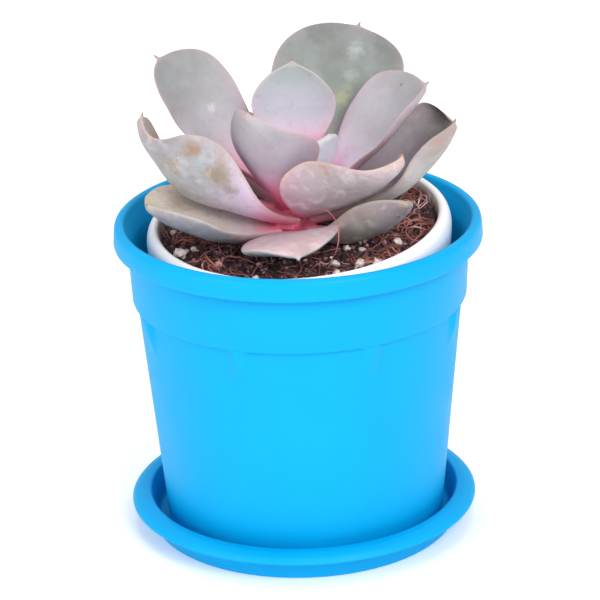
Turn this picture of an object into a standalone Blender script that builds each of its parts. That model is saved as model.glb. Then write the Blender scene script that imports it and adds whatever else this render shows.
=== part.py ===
"""Potted succulent: a loose rosette of fleshy leaves in a white nursery pot, which leans inside a
blue planter that stands on its own saucer.

Sizes are in millimetres until a mesh is made. Z = 0 is the surface that the saucer stands on, Z is
the planter's axis and -Y is the front.
"""

import math
from typing import NamedTuple

import bmesh
import bpy
from mathutils import Matrix, Vector

MM = 0.001
GAP = 0.3  # clearance between pieces that touch
ROUND_STEPS = 48

# Saucer
SAUCER_CENTRE_X = -0.5
SAUCER_BASE_R = 50.7
SAUCER_RIM_R = 57.9
SAUCER_HEIGHT = 11.3
SAUCER_FLOOR = 1.8

# Planter
PLANTER_FOOT = SAUCER_FLOOR + GAP
PLANTER_HEIGHT = 106.5
PLANTER_BAND_R = 60.4
BAND_FOOT = 99.2
COLLAR_R = 55.0
COLLAR_FOOT = 79.7
BODY_TOP_R = 53.4
BODY_DRAFT = 0.095  # loss of radius per unit of height, going down
PLANTER_WALL = 2.0
PLANTER_FLOOR = 4.4
RIBS = 8
FIRST_RIB = math.radians(-156.5)  # from +X
RIB_HALF_WIDTH = math.radians(4.6)
RIB_FOOT = 66.0
RIB_PROUD = 1.3

# Nursery pot, measured along its own leaning axis from the plane of its lip
POT_LIP_CENTRE = Vector((0.1, 0.0, 106.2))
POT_LEAN_FORWARD = math.radians(4.8)
POT_LEAN_LEFT = math.radians(2.9)
POT_LIP_R = 46.05
POT_SKIRT_R = 49.95
POT_WALL = 1.3
POT_DEPTH = 98.6
POT_BASE_R = 34.0

# Potting mix, below the lip
MIX_EDGE_DEPTH = 4.6
MIX_MIDDLE_DEPTH = 5.8
MIX_BOTTOM_DEPTH = 96.3
MIX_BUMP = 0.25

# Drain holes
PLANTER_HOLE_R = 4.0
PLANTER_HOLE_CIRCLE = 28.0
POT_HOLE_R = 3.5
POT_HOLE_CIRCLE = 22.0
DRAIN_HOLES = 6

# Stem
STEM_FOOT = Vector((-1.5, -3.5, 100.0))
STEM_TOP = Vector((0.5, -1.0, 124.0))
STEM_FOOT_R = 5.2
STEM_TOP_R = 3.0
ROOTSTOCK_DEPTH = 22.0
ROOTSTOCK_R = 4.2

# Leaves
LEAF_STATIONS = (0, 0.07, 0.15, 0.25, 0.35, 0.45, 0.55, 0.64, 0.72, 0.8, 0.87, 0.92, 0.95, 0.975)
LEAF_SIDES = 12
PETIOLE_SHARE = 0.22  # petiole width as a share of the blade's
MUCRO_SHARE = 0.035  # the small point past the blade's round end, as a share of the length
BASE_THICKNESS = 4.6
TIP_THICKNESS = 2.3
UPPER_BULGE = 0.32
LOWER_BULGE = 0.68


class Leaf(NamedTuple):
    """How one leaf grows; angles are in degrees."""

    height: float  # where it leaves the stem
    heading: float  # the way it grows, from +X towards +Y
    rise: float  # how steeply it starts
    tip_rise: float  # how steeply it ends
    curl: float  # extra rise over its last quarter
    swing: float  # how far it bends sideways
    length: float
    width: float
    widest: float  # share of the length where it is widest
    cup: float  # half angle of its trough
    roll: float  # tilt of the blade about its midrib
    twist: float  # more of the same towards the tip


LEAVES = {
    "leaf_front_low": Leaf(103, 264, 20, 6, -58, 18, 40.5, 32, 0.45, 0, 12, -10),
    "leaf_right_low": Leaf(104, 324, 0, 56, -20, -1, 45.5, 20, 0.65, 47, -31, 8),
    "leaf_left_low": Leaf(104, 192, 3, 33, 9, 11, 47, 48, 0.61, 28, -1, 8),
    "leaf_back_low": Leaf(104.5, 67, 6, 28, 5, 0, 46.5, 22.5, 0.64, 24, 1, 0),
    "leaf_back_left": Leaf(107.5, 118, 23, 35, 5, 0, 50, 26.5, 0.62, 33, 2, 0),
    "leaf_right_outer": Leaf(107, 10, 9, 60, 10, -20, 59.5, 46, 0.85, 60, 15, -12),
    "leaf_left_outer": Leaf(109, 203, 17, 56, 56, -51, 61.5, 40.5, 0.61, 42, 48, -25),
    "leaf_front_right": Leaf(111, 306, 23, 37, 35, 26, 51, 44, 0.33, 53, -19, 20),
    "leaf_back_tall": Leaf(110.5, 66, 44, 51, -10, -6, 66.5, 46.5, 0.65, 32, 9, 7),
    "leaf_left_tall": Leaf(114.5, 145, 30, 62, -24, 16, 62, 32, 0.76, 42, -27, 15),
    "leaf_right_tall": Leaf(115, 7, 39, 51, -21, -2, 52, 41.5, 0.73, 36, 9, -8),
    "leaf_front_young": Leaf(115.5, 237, 50, 72, 16, -11, 39.5, 39.5, 0.54, 54, 4, -14),
    "leaf_middle_young": Leaf(120.5, 92, 60, 96, 5, -2, 37, 29, 0.58, 36, 0, -5),
    "leaf_youngest": Leaf(120, 330, 58, 81, 3, -2, 18.5, 18, 0.6, 31, -5, -2),
}

# Perlite grains on the mix: (x, y, across)
GRAINS = (
    (32.0, -16.5, 3.4), (15.5, -17.0, 2.6), (20.5, -18.5, 2.6), (25.0, -30.5, 4.0), (36.5, -2.0, 2.2),
    (11.5, -27.5, 3.2), (19.5, -31.5, 3.6), (-41.0, 3.5, 2.6), (-34.0, -9.5, 2.4), (-38.0, -14.0, 4.6),
    (-14.0, -35.5, 2.4), (12.0, -37.0, 3.0),
)
GRAIN_SINK = 0.2  # flattening, as a share, of the side a grain lies on

# Coir fibres lying on the mix: (x, y, rise above the mix) from end to end
FIBRE_R = 0.32
FIBRES = (
    ((14.0, -24.5, 0.0), (20.0, -24.0, 1.4), (27.0, -22.5, 1.2), (33.0, -20.5, 0.0)),
    ((31.0, -28.0, 0.0), (35.0, -20.5, 1.6), (39.0, -12.0, 1.3), (41.5, -5.0, 0.2)),
    ((42.0, 1.0, 0.0), (40.5, 9.0, 1.8), (37.5, 18.0, 1.6), (34.0, 26.0, 0.2)),
    ((-43.0, -3.0, 0.0), (-40.5, -4.5, 1.3), (-37.0, -5.5, 1.5), (-33.0, -5.5, 0.0)),
    ((-31.5, -21.5, 0.2), (-26.0, -29.5, 1.6), (-20.5, -37.0, 0.1)),
)


def hex_colour(code):
    """An sRGB code such as "c8c0cc" as linear RGBA."""
    shares = [int(code[i:i + 2], 16) / 255 for i in (0, 2, 4)]
    linear = [c / 12.92 if c <= 0.04045 else ((c + 0.055) / 1.055) ** 2.4 for c in shares]
    return (*linear, 1.0)


def material(name, colour, roughness):
    mat = bpy.data.materials.new(name)
    mat.use_nodes = True
    shader = mat.node_tree.nodes["Principled BSDF"]
    shader.inputs["Base Color"].default_value = hex_colour(colour)
    shader.inputs["Roughness"].default_value = roughness
    shader.inputs["Metallic"].default_value = 0.0
    return mat


def clear_scene():
    for old in list(bpy.data.objects):
        bpy.data.objects.remove(old, do_unlink=True)


def add_object(name, bm, mat, sharp_degrees=40):
    """Turn a bmesh, in millimetres, into a shaded object in metres."""
    bmesh.ops.scale(bm, vec=(MM, MM, MM), verts=bm.verts)
    bmesh.ops.recalc_face_normals(bm, faces=bm.faces)
    mesh = bpy.data.meshes.new(name)
    bm.to_mesh(mesh)
    bm.free()
    mesh.shade_smooth()
    mesh.set_sharp_from_angle(angle=math.radians(sharp_degrees))
    mesh.materials.append(mat)
    obj = bpy.data.objects.new(name, mesh)
    bpy.context.collection.objects.link(obj)
    return obj


def turned(profile, steps=ROUND_STEPS):
    """Spin (radius, height) points, which run from axis to axis, into a closed body."""
    bm = bmesh.new()
    verts = [bm.verts.new((radius, 0, height)) for radius, height in profile]
    edges = [bm.edges.new(pair) for pair in zip(verts, verts[1:])]
    bmesh.ops.spin(
        bm, geom=verts + edges, cent=(0, 0, 0), axis=(0, 0, 1), angle=2 * math.pi, steps=steps, use_merge=True
    )
    bmesh.ops.remove_doubles(bm, verts=bm.verts, dist=0.001)
    return bm


def drill(obj, radius, circle, low, high, place):
    """Cut a ring of drain holes through the floor of obj."""
    for i in range(DRAIN_HOLES):
        turn = Matrix.Rotation(2 * math.pi * i / DRAIN_HOLES, 4, "Z")
        bm = bmesh.new()
        bmesh.ops.create_cone(
            bm, cap_ends=True, segments=12, radius1=radius, radius2=radius, depth=high - low,
            matrix=place @ turn @ Matrix.Translation((circle, 0, (low + high) / 2)),
        )
        cut(obj, add_object(f"{obj.name}_drain_cutter_{i}", bm, obj.data.materials[0]))


def cut(obj, cutter):
    """Subtract cutter, which stays in the file as a hidden guide."""
    cutter.hide_render = True
    cutter.display_type = "WIRE"
    boolean = obj.modifiers.new(cutter.name, "BOOLEAN")
    boolean.operation = "DIFFERENCE"
    boolean.object = cutter


def body_radius(height):
    return BODY_TOP_R - BODY_DRAFT * (COLLAR_FOOT - height)


def make_saucer():
    rim, base, top = SAUCER_RIM_R, SAUCER_BASE_R, SAUCER_HEIGHT
    profile = [
        (0, 0), (base - 0.6, 0), (base, 0.5), (base + 1.5, 7.4), (base + 2.3, 9.0), (base + 4.3, 8.7),
        (rim - 0.5, 7.6), (rim, 8.4), (rim - 1.4, 10.1), (rim - 3.6, 11.1), (rim - 5.6, top),
        (base + 0.7, top - 0.3), (base + 0.1, top - 1.1), (base - 1.4, 2.8), (base - 2.4, SAUCER_FLOOR),
        (0, SAUCER_FLOOR),
    ]
    bm = turned(profile)
    bmesh.ops.translate(bm, vec=(SAUCER_CENTRE_X, 0, 0), verts=bm.verts)
    return add_object("saucer", bm, material("blue_polypropylene_saucer", "02c4fa", 0.35))


def rib_share(angle, height):
    """How far a point lies up a rib: 0 off it, 1 on its crest under the collar."""
    pitch = 2 * math.pi / RIBS
    off = abs((angle - FIRST_RIB + pitch / 2) % pitch - pitch / 2) / RIB_HALF_WIDTH
    across = 0.5 + 0.5 * math.cos(math.pi * min(off, 1))
    up = min(max((height - RIB_FOOT) / (COLLAR_FOOT - RIB_FOOT), 0), 1)
    return min(1, 1.6 * across) * up * up * (3 - 2 * up)


def gather_to_ribs(angle):
    """Crowd the mesh's columns towards the ribs, where the shape changes fastest."""
    phase = (angle - FIRST_RIB) * RIBS
    return angle - 0.55 * math.sin(phase) / RIBS


def make_planter():
    wall, top = PLANTER_WALL, PLANTER_HEIGHT
    step = COLLAR_FOOT
    outer = [(body_radius(z), z) for z in (4.0, 30.0, 56.0, RIB_FOOT, 69.5, 73.0, 76.0, step - 0.3)]
    inner = [(body_radius(z) - wall, z) for z in (step, 40.0, 8.0)]
    profile = [
        (0, PLANTER_FOOT), (45.3, PLANTER_FOOT), (46.0, 2.9), *outer,
        (COLLAR_R - 0.3, step + 0.1), (COLLAR_R, step + 1.3), (55.9, 99.0), (56.6, 103.0), (58.6, 103.4),
        (58.9, BAND_FOOT), (PLANTER_BAND_R - 0.2, BAND_FOOT), (PLANTER_BAND_R, BAND_FOOT + 0.6),
        (60.0, 105.4), (59.4, top - 0.4), (58.4, top), (57.4, top - 0.1), (56.7, top - 0.7),
        (56.3, 104.0), (54.3, 98.5), *inner, (43.6, PLANTER_FLOOR + 0.5), (42.6, PLANTER_FLOOR), (0, PLANTER_FLOOR),
    ]
    bm = turned(profile, steps=64)
    for vert in bm.verts:
        radius = math.hypot(vert.co.x, vert.co.y)
        angle = gather_to_ribs(math.atan2(vert.co.y, vert.co.x))
        outside = radius > body_radius(vert.co.z) - 0.5 and RIB_FOOT - 1 < vert.co.z < COLLAR_FOOT
        radius += RIB_PROUD * rib_share(angle, vert.co.z) if outside else 0
        vert.co.x = radius * math.cos(angle)
        vert.co.y = radius * math.sin(angle)
    planter = add_object("planter", bm, material("blue_polypropylene", "04cbfc", 0.35), 30)
    drill(planter, PLANTER_HOLE_R, PLANTER_HOLE_CIRCLE, 0, 8, Matrix())
    return planter


def pot_frame():
    """Place of the nursery pot's lip circle, with the pot's axis as Z."""
    lean = Matrix.Rotation(-POT_LEAN_LEFT, 4, "Y") @ Matrix.Rotation(POT_LEAN_FORWARD, 4, "X")
    return Matrix.Translation(POT_LIP_CENTRE) @ lean


def pot_inner_radius(depth):
    """Inside radius of the tapering wall at a depth below the lip."""
    top_r, top_depth = 45.3, 4.0
    foot_r = POT_BASE_R - POT_WALL - 0.3
    return top_r + (foot_r - top_r) * (depth - top_depth) / (POT_DEPTH - POT_WALL - top_depth)


def make_nursery_pot():
    lip, skirt, depth = POT_LIP_R, POT_SKIRT_R, POT_DEPTH
    profile = [
        (0, -depth), (POT_BASE_R - 0.6, -depth), (POT_BASE_R, -depth + 0.6), (46.6, -12.2), (49.1, -11.8),
        (49.4, -11.0), (49.8, -7.5), (skirt, -4.6), (49.7, -2.9), (49.2, -1.5), (48.3, -0.4), (47.2, 0.2),
        (lip + 0.3, 0), (lip - 0.2, -0.6), (pot_inner_radius(4), -4), (pot_inner_radius(96), -96),
        (pot_inner_radius(96) - 0.9, -depth + POT_WALL), (0, -depth + POT_WALL),
    ]
    bm = turned(profile)
    bmesh.ops.transform(bm, matrix=pot_frame(), verts=bm.verts)
    pot = add_object("nursery_pot", bm, material("white_polypropylene", "f2f0f3", 0.4))
    drill(pot, POT_HOLE_R, POT_HOLE_CIRCLE, -POT_DEPTH - 3, -POT_DEPTH + 4, pot_frame())
    return pot


def mix_bump(x, y):
    """Low lumps of the potting mix, from three crossing waves."""
    return MIX_BUMP * (math.sin(0.42 * x + 0.9) + math.sin(0.37 * y - 0.3 * x) + math.sin(0.55 * y + 2.1))


def mix_depth(radius):
    """Depth of the mix below the lip, a little deeper in the middle."""
    share = min(radius / POT_LIP_R, 1)
    return MIX_MIDDLE_DEPTH + (MIX_EDGE_DEPTH - MIX_MIDDLE_DEPTH) * share * share


def make_potting_mix():
    top_radii = (44.4, 37.0, 29.0, 21.0, 14.0)
    profile = [
        (0, -MIX_BOTTOM_DEPTH), (pot_inner_radius(95) - 1.6, -MIX_BOTTOM_DEPTH),
        (pot_inner_radius(95) - 0.6, -MIX_BOTTOM_DEPTH + 1.4), (pot_inner_radius(6) - 0.5, -6),
        *((r, -mix_depth(r)) for r in top_radii), (0, -MIX_MIDDLE_DEPTH),
    ]
    bm = turned(profile, steps=48)
    for vert in bm.verts:
        if -6 < vert.co.z and math.hypot(vert.co.x, vert.co.y) < 44:
            vert.co.z += mix_bump(vert.co.x, vert.co.y)
    bmesh.ops.transform(bm, matrix=pot_frame(), verts=bm.verts)
    mix = add_object("potting_mix", bm, material("peat_and_coir_mix", "3a2426", 0.9), 180)
    pit = bmesh.new()
    bmesh.ops.create_cone(
        pit, cap_ends=True, segments=24, radius1=STEM_FOOT_R + 0.8, radius2=STEM_FOOT_R + 0.8, depth=40,
        matrix=Matrix.Translation((STEM_FOOT.x, STEM_FOOT.y, STEM_FOOT.z - ROOTSTOCK_DEPTH - 1 + 20)),
    )
    cut(mix, add_object("potting_mix_stem_cutter", pit, mix.data.materials[0]))
    return mix


def stem_point(height):
    return STEM_FOOT.lerp(STEM_TOP, (height - STEM_FOOT.z) / (STEM_TOP.z - STEM_FOOT.z))


def stem_radius(height):
    share = min(max((height - STEM_FOOT.z) / (STEM_TOP.z - STEM_FOOT.z), 0), 1.2)
    return STEM_FOOT_R + (STEM_TOP_R - STEM_FOOT_R) * share


def make_stem():
    """The short stem: rootstock in the mix, a taper between the leaf bases and a round tip."""
    foot, top = STEM_FOOT.z, STEM_TOP.z
    root = foot - ROOTSTOCK_DEPTH
    rings = [(root, ROOTSTOCK_R - 1), (root + 1, ROOTSTOCK_R), (foot - 3, STEM_FOOT_R)]
    rings += [(z, stem_radius(z)) for z in (foot, foot + 8, foot + 16, top - 2)]
    rings += [(top - 1, STEM_TOP_R * 0.8), (top - 0.4, STEM_TOP_R * 0.4)]
    bm = turned([(0, rings[0][0])] + [(r, z) for z, r in rings] + [(0, top)], steps=16)
    for vert in bm.verts:
        centre = stem_point(max(vert.co.z, foot))
        vert.co.x += centre.x
        vert.co.y += centre.y
    return add_object("stem", bm, material("stem_tissue", "b8475c", 0.5))


def smooth_step(share):
    share = min(max(share, 0), 1)
    return share * share * (3 - 2 * share)


def blade_share(share, widest):
    """Width of a leaf along its length, as a share of its greatest width."""
    if share < widest:
        return PETIOLE_SHARE + (1 - PETIOLE_SHARE) * math.sin(share / widest * math.pi / 2) ** 1.6
    past = min((share - widest) / (1 - MUCRO_SHARE - widest), 1)
    round_end = (1 - past ** 2.3) ** (1 / 1.9)
    mucro = 0.16 * min((1 - share) / (2.2 * MUCRO_SHARE), 1) ** 1.5
    return max(round_end, mucro)


def midrib(leaf, steps=40):
    """Points and directions along a leaf, starting at the stem's skin."""
    start = math.radians(leaf.heading)
    outwards = Vector((math.cos(start), math.sin(start), 0))
    lean = max(math.sin(math.radians(leaf.rise)), 0)  # a steep leaf's end would cut into the stem
    point = stem_point(leaf.height) + (stem_radius(leaf.height) + 0.5 + 2.4 * lean) * outwards
    points, ways = [], []
    for i in range(steps + 1):
        share = i / steps
        curl = leaf.curl * min(max((share - 0.72) / 0.28, 0), 1) ** 1.5
        rise = math.radians(leaf.rise + (leaf.tip_rise - leaf.rise) * share ** 1.2 + curl)
        heading = math.radians(leaf.heading + leaf.swing * share)
        way = Vector((math.cos(rise) * math.cos(heading), math.cos(rise) * math.sin(heading), math.sin(rise)))
        if i:
            point = point + (way + ways[-1]) / 2 * (leaf.length / steps)
        points.append(point)
        ways.append(way)
    return points, ways


def blade_axes(leaf, share, way):
    """The directions across a blade and out of its upper face."""
    heading = math.radians(leaf.heading + leaf.swing * share)
    level = Vector((-math.sin(heading), math.cos(heading), 0))
    up = way.cross(level)
    tilt = math.radians(leaf.roll * smooth_step(share / 0.5) + leaf.twist * smooth_step((share - 0.5) / 0.5))
    across = level * math.cos(tilt) + up * math.sin(tilt)
    return across, up * math.cos(tilt) - level * math.sin(tilt)


def blade_section(leaf, share):
    """One closed section of a leaf: a lens bent into a trough, as (across, out) pairs."""
    half = leaf.width / 2 * blade_share(share, leaf.widest)
    trough = (0.35 + 0.65 * smooth_step(share / 0.45)) * (1 - 0.35 * smooth_step((share - 0.7) / 0.3))
    trough = math.radians(max(leaf.cup, 2)) * trough
    thickness = BASE_THICKNESS + (TIP_THICKNESS - BASE_THICKNESS) * smooth_step((share - 0.1) / 0.8)
    thickness *= min(half / (leaf.width * 0.125), 1) ** 0.5
    section = []
    for i in range(LEAF_SIDES):
        turn = 2 * math.pi * i / LEAF_SIDES
        bend = trough * math.cos(turn)
        bulge = thickness * math.sin(turn) * (UPPER_BULGE if math.sin(turn) > 0 else LOWER_BULGE)
        section.append((half * math.sin(bend) / trough, half * (1 - math.cos(bend)) / trough + bulge))
    return section


def make_leaf(name, leaf, mat):
    points, ways = midrib(leaf)
    last = len(points) - 1
    bm = bmesh.new()
    rings = []
    for share in LEAF_STATIONS:
        whole = min(int(share * last), last - 1)
        part = share * last - whole
        point = points[whole].lerp(points[whole + 1], part)
        across, out = blade_axes(leaf, share, ways[whole].lerp(ways[whole + 1], part).normalized())
        ring = [bm.verts.new(point + across * u + out * v) for u, v in blade_section(leaf, share)]
        rings.append(ring)
    for ring, after in zip(rings, rings[1:]):
        for i in range(LEAF_SIDES):
            j = (i + 1) % LEAF_SIDES
            bm.faces.new((ring[i], ring[j], after[j], after[i]))
    bm.faces.new(rings[0])
    tip = bm.verts.new(points[-1])
    for i in range(LEAF_SIDES):
        bm.faces.new((rings[-1][i], rings[-1][(i + 1) % LEAF_SIDES], tip))
    return add_object(name, bm, mat, 60)


def mix_height(x, y):
    """Height of the potting mix's surface above the table at a place on it."""
    level = pot_frame()
    depth = mix_depth(math.hypot(x, y)) - mix_bump(x, y)
    normal = level.to_3x3() @ Vector((0, 0, 1))
    lip = POT_LIP_CENTRE - normal * depth
    return lip.z - (normal.x * (x - lip.x) + normal.y * (y - lip.y)) / normal.z


def make_grain(name, x, y, across, mat):
    """One expanded, lumpy grain lying on the mix."""
    bm = bmesh.new()
    bmesh.ops.create_icosphere(bm, subdivisions=1, radius=across / 2)
    low = 0
    for vert in bm.verts:
        lump = 1 + 0.14 * math.sin(7 * vert.co.x + x) * math.cos(5 * vert.co.y + y)
        vert.co = Vector((vert.co.x * lump, vert.co.y * lump, vert.co.z * (1 - GRAIN_SINK)))
        low = min(low, vert.co.z)
    bmesh.ops.translate(bm, vec=(x, y, mix_height(x, y) - low + 2 * GAP), verts=bm.verts)
    return add_object(name, bm, mat, 180)


def make_fibre(name, route, mat):
    """One thin fibre along a smooth route over the mix."""
    curve = bpy.data.curves.new(name, "CURVE")
    curve.dimensions = "3D"
    curve.bevel_depth = FIBRE_R * MM
    curve.bevel_resolution = 1
    curve.use_fill_caps = True
    steps = 10
    spline = curve.splines.new("POLY")
    spline.points.add(steps)
    for i in range(steps + 1):
        place = smooth_route(route, i / steps)
        height = mix_height(place.x, place.y) + place.z + FIBRE_R + 2 * GAP
        spline.points[i].co = (place.x * MM, place.y * MM, height * MM, 1)
    obj = bpy.data.objects.new(name, curve)
    bpy.context.collection.objects.link(obj)
    curve.materials.append(mat)
    return obj


def smooth_route(route, share):
    """A point on the Bezier curve that the route's points pull."""
    points = [Vector(p) for p in route]
    while len(points) > 1:
        points = [a.lerp(b, share) for a, b in zip(points, points[1:])]
    return points[0]


def main():
    clear_scene()
    make_saucer()
    make_planter()
    make_nursery_pot()
    make_potting_mix()
    make_stem()
    leaf_skin = material("glaucous_leaf_skin", "b3aab4", 0.55)
    for name, leaf in LEAVES.items():
        make_leaf(name, leaf, leaf_skin)
    perlite = material("expanded_perlite", "e6dcd8", 0.85)
    for i, grain in enumerate(GRAINS, 1):
        make_grain(f"perlite_grain_{i:02d}", *grain, perlite)
    coir = material("coir_fibre", "a8715a", 0.8)
    for i, route in enumerate(FIBRES, 1):
        make_fibre(f"coir_fibre_{i:02d}", route, coir)


main()
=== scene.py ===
"""Potted succulent: the finished look of every piece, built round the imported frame."""

import math
import random
from typing import NamedTuple

import bmesh
import bpy
from bpy.props import FloatProperty, FloatVectorProperty, IntProperty, PointerProperty
from mathutils import Matrix, Vector, noise


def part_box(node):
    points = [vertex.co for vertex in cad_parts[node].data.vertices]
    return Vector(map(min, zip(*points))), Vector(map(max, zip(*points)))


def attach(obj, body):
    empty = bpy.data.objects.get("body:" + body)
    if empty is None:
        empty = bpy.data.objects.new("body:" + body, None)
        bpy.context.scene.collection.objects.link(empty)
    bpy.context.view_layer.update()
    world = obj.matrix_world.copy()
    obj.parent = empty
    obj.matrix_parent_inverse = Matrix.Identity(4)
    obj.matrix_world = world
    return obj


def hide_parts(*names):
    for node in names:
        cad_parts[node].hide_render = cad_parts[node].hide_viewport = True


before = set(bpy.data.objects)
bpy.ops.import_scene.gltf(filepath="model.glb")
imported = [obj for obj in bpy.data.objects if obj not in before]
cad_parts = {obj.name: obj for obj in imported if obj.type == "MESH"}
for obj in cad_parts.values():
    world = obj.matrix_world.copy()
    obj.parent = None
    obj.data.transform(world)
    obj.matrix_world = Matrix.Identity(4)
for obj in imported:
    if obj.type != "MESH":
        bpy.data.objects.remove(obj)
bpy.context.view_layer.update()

# Vector noise starts from the clock unless it is seeded, and every run gives the same shapes
noise.seed_set(1)

bl_info = {
    "name": "Potted Succulent",
    "version": (1, 0, 0),
    "blender": (4, 5, 0),
    "location": "3D View > Sidebar > Succulent",
    "description": "Builds a succulent rosette in its nursery pot, planter and saucer",
    "category": "Add Mesh",
}

MM = 0.001
SAUCER_LOW, SAUCER_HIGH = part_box("saucer")
PLANTER_LOW, PLANTER_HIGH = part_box("planter")

# The nursery pot leans: the middle of its lip circle, and how far it leans forward and to the left
POT_LIP_CENTRE = Vector((0.1, 0.0, 106.2))
POT_LEAN_FORWARD = math.radians(4.8)
POT_LEAN_LEFT = math.radians(2.9)
POT_DEPTH = 98.6
POT_WALL = 1.3
POT_BASE_R = 34.0
POT_LIP_R = 46.05  # inside its lip
POT_THROAT_R = 45.3  # inside its wall at the throat, where the lip's curve ends
POT_THROAT_DEPTH = 4
MIX_EDGE_DEPTH = 4.6
MIX_MIDDLE_DEPTH = 5.8

# The stem's middle line, from the mix to its tip
STEM_FOOT = Vector((-1.5, -3.5, 100.0))
STEM_TOP = Vector((0.5, -1.0, 124.0))
STEM_FOOT_R = 5.2
STEM_TOP_R = 3.0

# Where the end of a fallen leaf stands, in the nursery pot's own plane
STUB_PLACE = (-17.5, -10.0)

# A leaf's pointed tip as a share of its length, its thickness, and how it is shared between the faces
MUCRO_SHARE = 0.035
BASE_THICKNESS = 4.6
TIP_THICKNESS = 2.3
UPPER_BULGE = 0.32
LOWER_BULGE = 0.68


class Leaf(NamedTuple):
    """How one leaf grows, in millimetres and degrees."""

    height: float  # where it leaves the stem
    heading: float  # the way it grows, from +X towards +Y
    rise: float  # how steeply it starts
    tip_rise: float  # how steeply it ends
    curl: float  # extra rise over its last quarter
    swing: float  # how far it bends sideways
    length: float
    width: float
    widest: float  # share of the length where it is widest
    cup: float  # half angle of its trough
    roll: float  # tilt of the blade about its midrib
    twist: float  # more of the same towards the tip
    point: float = 0.3  # 0 for a round end, 1 for a drawn-out one
    keel: float = 0.0  # extra depth of the under face
    petiole: float = 0.22  # width of the base as a share of the leaf's


class Skin(NamedTuple):
    """The colours of one leaf, each face from tip to base, with painted light and shade in them."""

    upper: tuple
    under: tuple
    margin: str
    scars: float  # how much of the under face is corky
    flush: float = 0.24  # how far the pink of the base runs up
    wear: float = 0.08  # how much of the bloom is rubbed and stained


LEAVES = {
    "leaf_front_low": Leaf(103, 264, 20, 6, -58, 18, 40.5, 32, 0.45, 0, 12, -10, 0.45, 1.9),
    "leaf_right_low": Leaf(104, 324, 0, 56, -20, -1, 45.5, 20, 0.65, 47, -31, 8, 0.3, 1.0),
    "leaf_left_low": Leaf(104, 192, 3, 33, 9, 11, 47, 48, 0.61, 28, -1, 8, 0.5, 1.2),
    "leaf_back_low": Leaf(104.5, 67, 6, 28, 5, 0, 46.5, 22.5, 0.64, 24, 1, 0),
    "leaf_back_left": Leaf(107.5, 118, 23, 35, 5, 0, 50, 26.5, 0.62, 33, 2, 0),
    "leaf_right_outer": Leaf(107, 10, 9, 60, 10, -20, 59.5, 46, 0.85, 60, 15, -12, 0.3),
    "leaf_left_outer": Leaf(109, 203, 17, 56, 56, -51, 61.5, 40.5, 0.61, 42, 48, -25, 0.55, 0.0, 0.42),
    "leaf_front_right": Leaf(111, 306, 23, 37, 35, 26, 51, 44, 0.33, 53, -19, 20, 0.6),
    "leaf_back_tall": Leaf(110.5, 66, 44, 51, -10, -6, 66.5, 46.5, 0.65, 32, 9, 7, 0),
    "leaf_left_tall": Leaf(114.5, 145, 30, 62, -24, 16, 62, 32, 0.76, 42, -27, 15, 0.2),
    "leaf_right_tall": Leaf(115, 7, 39, 51, -21, -2, 52, 41.5, 0.73, 36, 9, -8, 0.25),
    "leaf_front_young": Leaf(115.5, 237, 50, 72, 16, -11, 39.5, 39.5, 0.54, 54, 4, -14, 0.1),
    "leaf_middle_young": Leaf(120.5, 92, 60, 96, 5, -2, 37, 29, 0.58, 36, 0, -5, 0.95),
    "leaf_youngest": Leaf(120, 330, 58, 81, 3, -2, 18.5, 18, 0.6, 31, -5, -2, 0.6),
}


class Blemish(NamedTuple):
    """A stain, scar or rubbed patch on one leaf."""

    leaf: str
    face: int  # 1 on the upper face, -1 on the under face
    along: float  # share of the leaf's length
    across: float  # from -1 at one margin to 1 at the other
    size: float  # reach in millimetres
    colour: str
    strength: float


BLEMISHES = (
    Blemish("leaf_left_outer", -1, 0.63, 0.78, 5.5, "9a7c64", 0.85),
    Blemish("leaf_left_outer", -1, 0.42, 0.68, 8.0, "8f8070", 0.85),
    Blemish("leaf_left_outer", -1, 0.34, 0.62, 4.5, "85766c", 0.6),
    Blemish("leaf_left_outer", -1, 0.53, 0.31, 3.0, "77706e", 0.4),
    Blemish("leaf_back_tall", 1, 0.57, -0.10, 5.5, "b0b28c", 0.7),
    Blemish("leaf_back_tall", 1, 0.84, -0.10, 4.5, "b4bab4", 0.5),
    Blemish("leaf_back_tall", 1, 0.70, -0.14, 4.0, "b4bab4", 0.4),
    Blemish("leaf_left_tall", 1, 0.59, -0.21, 2.6, "cfcbc6", 0.6),
    Blemish("leaf_left_tall", 1, 0.28, 0.0, 1.7, "b4664a", 0.7),
    Blemish("leaf_front_right", -1, 0.69, -0.71, 4.5, "d3cdcd", 0.45),
    Blemish("leaf_front_right", -1, 0.60, -0.95, 4.0, "a8826a", 0.7),
    Blemish("leaf_front_right", -1, 0.44, 0.36, 5.0, "7e6a66", 0.5),
    Blemish("leaf_right_outer", -1, 0.90, -0.74, 6.0, "a8897c", 0.6),
    Blemish("leaf_right_outer", -1, 0.55, -0.10, 7.0, "8c7472", 0.6),
    Blemish("leaf_right_low", -1, 0.66, 0.63, 1.6, "3a2c2a", 0.8),
    Blemish("leaf_right_low", -1, 0.84, 0.05, 1.3, "3a2c2a", 0.8),
    Blemish("leaf_right_low", -1, 0.56, -0.54, 4.0, "b2b4a4", 0.5),
    Blemish("leaf_right_low", -1, 0.95, -0.67, 3.0, "84794f", 0.7),
    Blemish("leaf_right_tall", 1, 0.84, 0.50, 0.9, "4a3640", 0.7),
    Blemish("leaf_front_low", 1, 0.95, 0.9, 6.0, "8f8a8c", 0.6),
    Blemish("leaf_left_low", 1, 0.66, -0.45, 6.0, "8a765f", 0.5),
)

# Each leaf's own tones with light and shade painted in: every leaf's colours are set to how bright it shows
# where it sits. Faces in shadow carry painted shade, and faces near the crowded bases are lightened with
# painted light against the shade there.
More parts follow.
